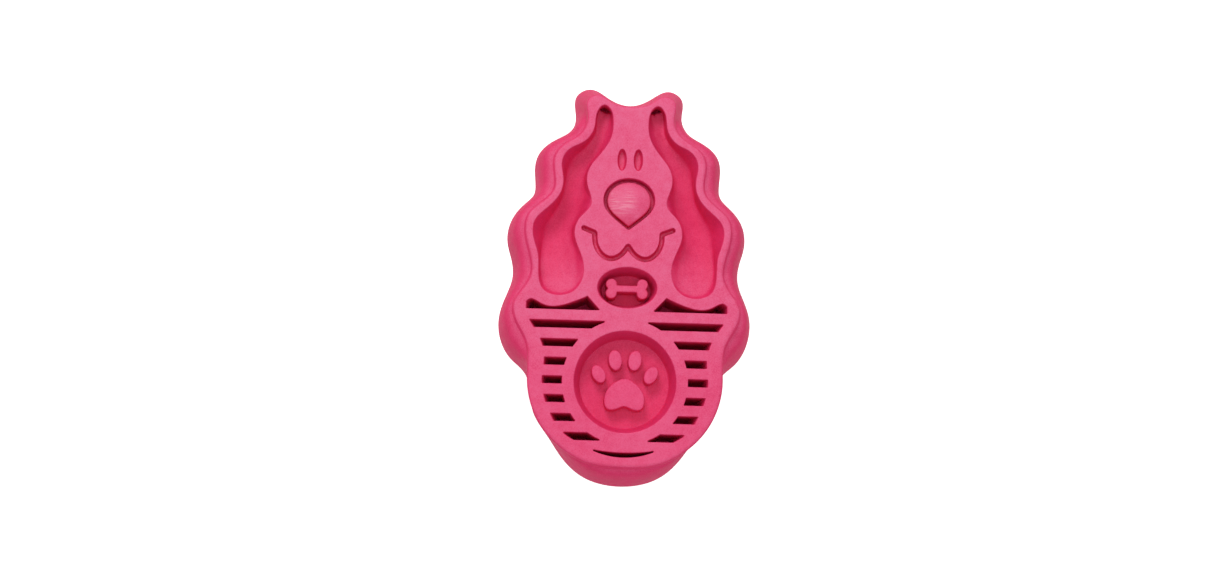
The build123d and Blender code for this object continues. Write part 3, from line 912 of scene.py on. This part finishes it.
def nose():
    """Domed nose in its recess, with faint flow lines across it."""
    loop = nose_loop(NOSE_GAP, 0.3)
    out = outward(loop)
    skin = Skin()

    def dome(points):
        reach = np.linalg.norm(points - np.array([0.0, 22.8]), axis=1)
        z = FACE_Z - NOSE_DOME_R + np.sqrt(NOSE_DOME_R ** 2 - np.minimum(reach, 12.0) ** 2)
        wave = np.sin(points[:, 1] * 5.3 + 0.35 * np.sin(points[:, 0] * 0.9))
        wave += 0.6 * np.sin(points[:, 1] * 8.9 + 0.5 * np.sin(points[:, 0] * 0.7 + 1.0))
        return z + 0.018 * wave * np.clip((7.0 - reach) / 2.0, 0.0, 1.0)

    rim = 0.35
    edge = dome(loop)
    rings = [skin.ring(loop + out * RAISED_LEAN, NOSE_FLOOR_Z - RAISED_SINK)]
    for k in range(1, 4):
        z = NOSE_FLOOR_Z + (edge - rim - NOSE_FLOOR_Z) * k / 3
        rings.append(skin.ring(loop + out * RAISED_LEAN * (1 - k / 3), z))
    for inset, drop in quarter(rim, 5)[-2::-1]:
        level = loop - out * inset
        rings.append(skin.ring(level, dome(level) - drop))
    skin.chain(rings)
    inner = loop - out * rim
    skin.fill(rings[-1], extra=grid_inside(inner, 0.3, 0.2), height=dome)
    skin.fill(rings[0], down=True)
    return skin


# ---------------- fingers
def finger_profile():
    """Radius and height of a finger, from its round tip to the flare under the web."""
    tip, root, flare = 1.5, 2.9, 0.7
    rows = []
    for k in range(1, 8):
        a = math.pi / 2 * k / 7
        rows.append((tip * math.sin(a), tip * (1 - math.cos(a))))
    shaft_top = FINGER_LENGTH - flare
    for k in range(1, 11):
        z = tip + (shaft_top - tip) * k / 10
        rows.append((tip + (root - tip) * (z - tip) / (FINGER_LENGTH - tip), z))
    base = rows[-1][0]
    for k in range(1, 6):
        a = math.pi / 2 * k / 5
        rows.append((base + flare * (1 - math.cos(a)), shaft_top + flare * math.sin(a)))
    rows.append((base + flare, FINGER_LENGTH + 0.3))
    return rows


def finger(x, y):
    count = 32
    skin = Skin()
    rings = [skin.ring(ellipse(x, y, r, r, count), z) for r, z in finger_profile()]
    skin.chain(rings)
    tip = len(skin.points)
    skin.points.append((x, y, 0.0))
    first = rings[0]
    for i in range(count):
        skin.faces.append((tip, first[(i + 1) % count], first[i]))
    skin.fill(rings[-1])
    return skin


def finger_rows():
    """Rows of fingers, placed by the same rule as the CAD."""
    pitch, row_pitch, rows, edge = 9.6, 8.6, 13, 4.2
    foot = spline(mirrored(FOOT), True, 24)

    def half_width(y):
        a, b = foot, np.roll(foot, -1, 0)
        crossing = (a[:, 1] - y) * (b[:, 1] - y) <= 0.0
        a, b = a[crossing], b[crossing]
        share = (y - a[:, 1]) / (b[:, 1] - a[:, 1] + 1e-12)
        return np.abs(a[:, 0] + (b[:, 0] - a[:, 0]) * share).max()

    result = []
    for n in range(rows):
        y = row_pitch * (rows - 1) / 2 - n * row_pitch
        room = min(half_width(y), half_width(y + 2.5), half_width(y - 2.5)) - edge
        shift = 0.0 if n % 2 == 0 else pitch / 2
        places = [k * pitch + shift for k in range(-6, 7)]
        result.append([(x, y) for x in places if abs(x) <= room])
    return result


# ---------------- looks
RUBBER = (0.72, 0.028, 0.128, 1.0)
RUBBER_PALE = (0.78, 0.039, 0.154, 1.0)
RUBBER_DEEP = (0.66, 0.021, 0.108, 1.0)
MOTTLE_SPAN = (0.39, 0.61)            # noise values of the deep and of the pale rubber
PAINTED_SHEEN = (0.74, 0.135, 0.265, 1.0)     # painted sheen: a pale painted highlight on the faces that lie level, where the light overhead reflects
SHEEN_LEVEL_SPAN = (0.40, 0.98)            # upward part of the normal, from no painted sheen to full painted sheen
SHEEN_HEIGHT_SPAN = (27.5, 37.7)           # the same for the height: less painted sheen down in the hollows, as painted shade
SHEEN_LENGTH_SPAN = (-32.0, -12.0)         # y values between which the painted sheen thins towards the chin, a painted falloff of the light
SHEEN_CHIN_SHARE = 0.68                     # share of it that the chin end has
SHEEN_MOTTLE_SHARES = (0.42, 1.0)            # shares of it on the deep and on the pale rubber
PAINTED_FLOW_HIGHLIGHT = (0.86, 0.36, 0.47, 1.0)   # painted highlight streaks along the flow lines on the nose
# middle of the painted highlight on the nose, left of its centre, where the light falls
NOSE_HIGHLIGHT_MIDDLE = (-0.0024, 0.0228, 0.0378)


def object_place(tree, scale=(1.0, 1.0, 1.0), turn=0.0):
    """Place on the object in metres, turned about Z and scaled."""
    place = tree.nodes.new("ShaderNodeTexCoord")
    mapping = tree.nodes.new("ShaderNodeMapping")
    mapping.inputs["Scale"].default_value = scale
    mapping.inputs["Rotation"].default_value = (0.0, 0.0, turn)
    tree.links.new(place.outputs["Object"], mapping.inputs["Vector"])
    return mapping.outputs["Vector"]


def part_of(tree, vector, axis):
    node = tree.nodes.new("ShaderNodeSeparateXYZ")
    tree.links.new(vector, node.inputs["Vector"])
    return node.outputs[axis]


def noise(tree, vector, scale, detail, rough=0.5):
    node = tree.nodes.new("ShaderNodeTexNoise")
    node.inputs["Scale"].default_value = scale
    node.inputs["Detail"].default_value = detail
    node.inputs["Roughness"].default_value = rough
    tree.links.new(vector, node.inputs["Vector"])
    return node.outputs["Fac"]


def bump(tree, height, distance, strength, under=None):
    node = tree.nodes.new("ShaderNodeBump")
    node.inputs["Distance"].default_value = distance
    node.inputs["Strength"].default_value = strength
    tree.links.new(height, node.inputs["Height"])
    if under is not None:
        tree.links.new(under, node.inputs["Normal"])
    return node.outputs["Normal"]


def remapped(tree, value, span, result=(0.0, 1.0), smooth=False):
    """The value, with its span stretched to the span of the result."""
    node = tree.nodes.new("ShaderNodeMapRange")
    node.interpolation_type = "SMOOTHSTEP" if smooth else "LINEAR"
    for name, number in zip(("From Min", "From Max", "To Min", "To Max"), span + result):
        node.inputs[name].default_value = number
    tree.links.new(value, node.inputs["Value"])
    return node.outputs["Result"]


def product(tree, first, second):
    node = tree.nodes.new("ShaderNodeMath")
    node.operation = "MULTIPLY"
    tree.links.new(first, node.inputs[0])
    tree.links.new(second, node.inputs[1])
    return node.outputs[0]


def blend(tree, share, first, second):
    """Two values, with a fixed share of the second."""
    node = tree.nodes.new("ShaderNodeMix")
    node.data_type = "FLOAT"
    node.inputs["Factor"].default_value = share
    tree.links.new(first, node.inputs["A"])
    tree.links.new(second, node.inputs["B"])
    return node.outputs["Result"]


def tinted(tree, under, colour, share):
    """The colour under it, with a varying share of another colour."""
    node = tree.nodes.new("ShaderNodeMix")
    node.data_type = "RGBA"
    node.inputs["B"].default_value = colour
    tree.links.new(share, node.inputs["Factor"])
    tree.links.new(under, node.inputs["A"])
    return node.outputs["Result"]


def mottled_colour(tree, speckle):
    """Deep, plain and pale rubber along the values of the noise."""
    ramp = tree.nodes.new("ShaderNodeValToRGB")
    for stop, at, colour in zip(ramp.color_ramp.elements, MOTTLE_SPAN, (RUBBER_DEEP, RUBBER_PALE)):
        stop.position = at
        stop.color = colour
    ramp.color_ramp.elements.new(sum(MOTTLE_SPAN) / 2).color = RUBBER
    tree.links.new(speckle, ramp.inputs["Fac"])
    return ramp.outputs["Color"]


def painted_sheen_share(tree, mm, speckle):
    """Share of painted sheen: most on level faces at the top, where the light falls, less in
    hollows and towards the chin, as painted shade.
    """
    shape = tree.nodes.new("ShaderNodeNewGeometry")
    upward = part_of(tree, shape.outputs["Normal"], "Z")
    level = remapped(tree, upward, SHEEN_LEVEL_SPAN, smooth=True)
    height = remapped(tree, part_of(tree, mm, "Z"), SHEEN_HEIGHT_SPAN)
    length = remapped(tree, part_of(tree, mm, "Y"), SHEEN_LENGTH_SPAN, (SHEEN_CHIN_SHARE, 1.0), smooth=True)
    patchy = remapped(tree, speckle, MOTTLE_SPAN, SHEEN_MOTTLE_SHARES)
    return product(tree, product(tree, product(tree, level, height), length), patchy)


def rubber_material():
    """Moulded pink rubber: even colour with soft mottling, satin, with a fine dry grain, and a
    painted sheen on the faces that lie level.
    """
    material = bpy.data.materials.new("moulded_pink_rubber")
    material.use_nodes = True
    tree = material.node_tree
    shader = tree.nodes["Principled BSDF"]
    shader.inputs["Specular IOR Level"].default_value = 0.10
    shader.inputs["IOR"].default_value = 1.45
    shader.inputs["Subsurface Weight"].default_value = 0.06
    shader.inputs["Subsurface Radius"].default_value = (1.0, 0.25, 0.3)
    shader.inputs["Subsurface Scale"].default_value = 0.0015

    mm = object_place(tree, (1.0 / MM, 1.0 / MM, 1.0 / MM))
    mottle = noise(tree, mm, 0.30, 5.0, 0.72)
    patch = noise(tree, mm, 0.045, 2.0)
    grain = noise(tree, mm, 2.6, 3.0, 0.6)
    swell = noise(tree, mm, 0.5, 2.0)
    speckle = blend(tree, 0.45, blend(tree, 0.35, mottle, patch), grain)
    # painted sheen: pale colour mixed in on level faces where the light overhead reflects, less in
    # hollows and towards the chin
    colour = tinted(tree, mottled_colour(tree, speckle), PAINTED_SHEEN, painted_sheen_share(tree, mm, speckle))
    tree.links.new(colour, shader.inputs["Base Color"])
    roughness = remapped(tree, mottle, (0.3, 0.7), (0.44, 0.60))
    tree.links.new(roughness, shader.inputs["Roughness"])
    soft = bump(tree, swell, 0.00025, 0.35)
    fine = bump(tree, grain, 0.00006, 0.55, soft)
    tree.links.new(fine, shader.inputs["Normal"])
    return material


def nose_material(rubber):
    """The same rubber with pale painted highlight streaks along the flow lines, across the middle
    of the nose, a little to the left where the light falls.
    """
    material = rubber.copy()
    material.name = "moulded_pink_rubber_nose"
    tree = material.node_tree
    shader = tree.nodes["Principled BSDF"]
    under = shader.inputs["Base Color"].links[0].from_socket
    lines = noise(tree, object_place(tree, (190.0, 1700.0, 190.0), 0.05), 1.0, 2.0)
    about = tree.nodes.new("ShaderNodeVectorMath")
    about.operation = "DISTANCE"
    about.inputs[1].default_value = NOSE_HIGHLIGHT_MIDDLE
    tree.links.new(object_place(tree), about.inputs[0])
    near = remapped(tree, about.outputs["Value"], (0.0010, 0.0058), (1.0, 0.0), smooth=True)
    streak = remapped(tree, lines, (0.46, 0.68), (0.12, 0.75))
    # painted highlight: pale streaks near the lit middle of the nose
    colour = tinted(tree, under, PAINTED_FLOW_HIGHLIGHT, product(tree, near, streak))
    tree.links.new(colour, shader.inputs["Base Color"])
    return material


def floor_material():
    """Pale matt floor; what the camera sees of it is lifted to a studio white."""
    material = bpy.data.materials.new("pale_floor")
    material.use_nodes = True
    tree = material.node_tree
    shader = tree.nodes["Principled BSDF"]
    shader.inputs["Base Color"].default_value = (0.82, 0.82, 0.82, 1.0)
    shader.inputs["Roughness"].default_value = 0.9
    shader.inputs["Specular IOR Level"].default_value = 0.1
    shader.inputs["Emission Color"].default_value = (1.0, 1.0, 1.0, 1.0)
    rays = tree.nodes.new("ShaderNodeLightPath")
    lift = remapped(tree, rays.outputs["Is Camera Ray"], (0.0, 1.0), (0.0, 0.8))
    tree.links.new(lift, shader.inputs["Emission Strength"])
    return material


def show(mesh, node, material):
    """Puts a finished mesh, made in millimetres, in place of a CAD node.

    Smooth shading keeps the flat faces flat, because normals are weighted by face area."""
    name = node + "_rubber"
    mesh.transform(Matrix.Scale(MM, 4))
    mesh.name = name
    mesh.materials.clear()
    mesh.materials.append(material)
    mesh.shade_smooth()
    mesh.set_sharp_from_angle(angle=math.radians(40.0))
    piece = bpy.data.objects.new(name, mesh)
    bpy.context.scene.collection.objects.link(piece)
    weighted = piece.modifiers.new("weighted_normals", "WEIGHTED_NORMAL")
    weighted.mode = "FACE_AREA"
    weighted.weight = 50
    weighted.keep_sharp = True
    graph = bpy.context.evaluated_depsgraph_get()
    final = bpy.data.meshes.new_from_object(
        piece.evaluated_get(graph), preserve_all_data_layers=True, depsgraph=graph)
    piece.modifiers.clear()
    piece.data = final
    bpy.data.meshes.remove(mesh)
    final.name = name
    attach(piece, "root")
    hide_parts(node)
    return piece


def build_brush():
    """One piece for each CAD node, all of the one rubber."""
    material = rubber_material()
    for node, mesh in body_pieces().items():
        show(mesh, node, material)
    show(nose().mesh("nose"), "nose", nose_material(material))
    show(paw().mesh("paw"), "paw_emblem", material)
    show(bone().mesh("bone"), "bone_emblem", material)
    for number, places in enumerate(finger_rows(), start=1):
        row = joined([finger(x, y) for x, y in places])
        show(row.mesh("fingers"), "finger_row_%02d" % number, material)


def build_floor():
    mesh = bpy.data.meshes.new("studio_floor")
    reach = 3.0
    corners = [(-1, -1), (1, -1), (1, 1), (-1, 1)]
    mesh.from_pydata([(x * reach, y * reach, 0.0) for x, y in corners], [], [(0, 1, 2, 3)])
    floor = bpy.data.objects.new("studio_floor", mesh)
    floor.data.materials.append(floor_material())
    bpy.context.scene.collection.objects.link(floor)


def area_light(name, place, target, size, power):
    light = bpy.data.lights.new(name, "AREA")
    light.shape = "SQUARE"
    light.size = size
    light.energy = power
    lamp = bpy.data.objects.new(name, light)
    lamp.location = place
    aim = Vector(target) - Vector(place)
    lamp.rotation_euler = aim.to_track_quat("-Z", "Y").to_euler()
    bpy.context.scene.collection.objects.link(lamp)


def build_world():
    """Even white surroundings, a little darker at the horizon and below it."""
    world = bpy.data.worlds.new("studio")
    bpy.context.scene.world = world
    world.use_nodes = True
    tree = world.node_tree
    background = tree.nodes["Background"]
    place = tree.nodes.new("ShaderNodeTexCoord")
    ramp = tree.nodes.new("ShaderNodeValToRGB")
    ramp.color_ramp.elements[0].position = 0.0
    ramp.color_ramp.elements[0].color = (0.85, 0.85, 0.85, 1.0)
    ramp.color_ramp.elements[1].position = 0.9
    ramp.color_ramp.elements[1].color = (1.0, 1.0, 1.0, 1.0)
    tree.links.new(part_of(tree, place.outputs["Generated"], "Z"), ramp.inputs["Fac"])
    tree.links.new(ramp.outputs["Color"], background.inputs["Color"])
    background.inputs["Strength"].default_value = 0.67


def build_lamps():
    """A key lamp beyond the ears, and a soft one overhead."""
    middle = (0.0, 0.0, 0.03)
    area_light("key", (-0.30, 0.80, 1.05), middle, 0.45, 6.6)
    area_light("overhead", (0.05, -0.05, 1.3), middle, 0.6, 2.6)


def build_camera():
    """Looks almost straight down, a little from the chin end and from the left."""
    distance = 0.900
    lean_chin, lean_left = math.radians(8.0), math.radians(-2.0)
    roll = math.radians(-1.4)
    back = Vector((math.sin(lean_left), -math.sin(lean_chin), 0.0))
    back.z = math.sqrt(1.0 - back.dot(back))
    up = Vector((0.0, 1.0, 0.0))
    up = (up - back * up.dot(back)).normalized()
    right = up.cross(back)
    right_turned = right * math.cos(roll) - up * math.sin(roll)
    up_turned = right * math.sin(roll) + up * math.cos(roll)
    aim_right, aim_up = -0.0034, 0.0005
    aim = Vector((0.0, 0.0, 0.027)) + right_turned * aim_right + up_turned * aim_up
    camera = bpy.data.cameras.new("camera")
    camera.sensor_width = 36.0
    camera.lens = 88.64
    camera.clip_start = 0.05
    eye_point = bpy.data.objects.new("camera", camera)
    axes = Matrix((right_turned, up_turned, back)).transposed()
    eye_point.matrix_world = Matrix.Translation(aim + back * distance) @ axes.to_4x4()
    bpy.context.scene.collection.objects.link(eye_point)
    bpy.context.scene.camera = eye_point


build_camera()
build_world()
build_lamps()
build_floor()
build_brush()
bpy.context.scene.view_settings.view_transform = "Standard"
